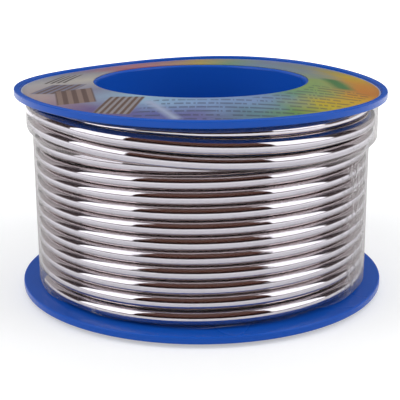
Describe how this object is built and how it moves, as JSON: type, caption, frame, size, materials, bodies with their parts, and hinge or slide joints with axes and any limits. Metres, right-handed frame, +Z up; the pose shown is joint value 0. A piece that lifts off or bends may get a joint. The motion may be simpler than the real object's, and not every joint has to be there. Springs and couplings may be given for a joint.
{
  "type": "solder wire spool",
  "caption": "Free-standing flanged plastic reel wound with bright heavy solder wire under clear film, with a wide bore and a printed ring label.",
  "frame": {"origin": "centre of the lower hub end, on the surface that the reel stands on", "axes": "+Z up along the reel's axis, from the lower flange to the labelled upper flange; -Y is the side the reference view looks at"},
  "size_m": [0.08, 0.08, 0.0454],
  "materials": {
    "reel_plastic": "smooth moulded, glossy",
    "label_paper": "coated paper, many soft colours, semi-gloss",
    "solder": "bright drawn solder, mirror-like",
    "clear_film": "clear stretched film with fine creases"
  },
  "bodies": {
    "root": {"reel_lower_half": "reel_plastic", "reel_upper_half": "reel_plastic", "top_label": "label_paper", "wire_layer_1": "solder", "wire_layer_2": "solder", "wire_layer_3": "solder", "wire_layer_4": "solder", "film_wrap": "clear_film"}
  },
  "joints": []
}
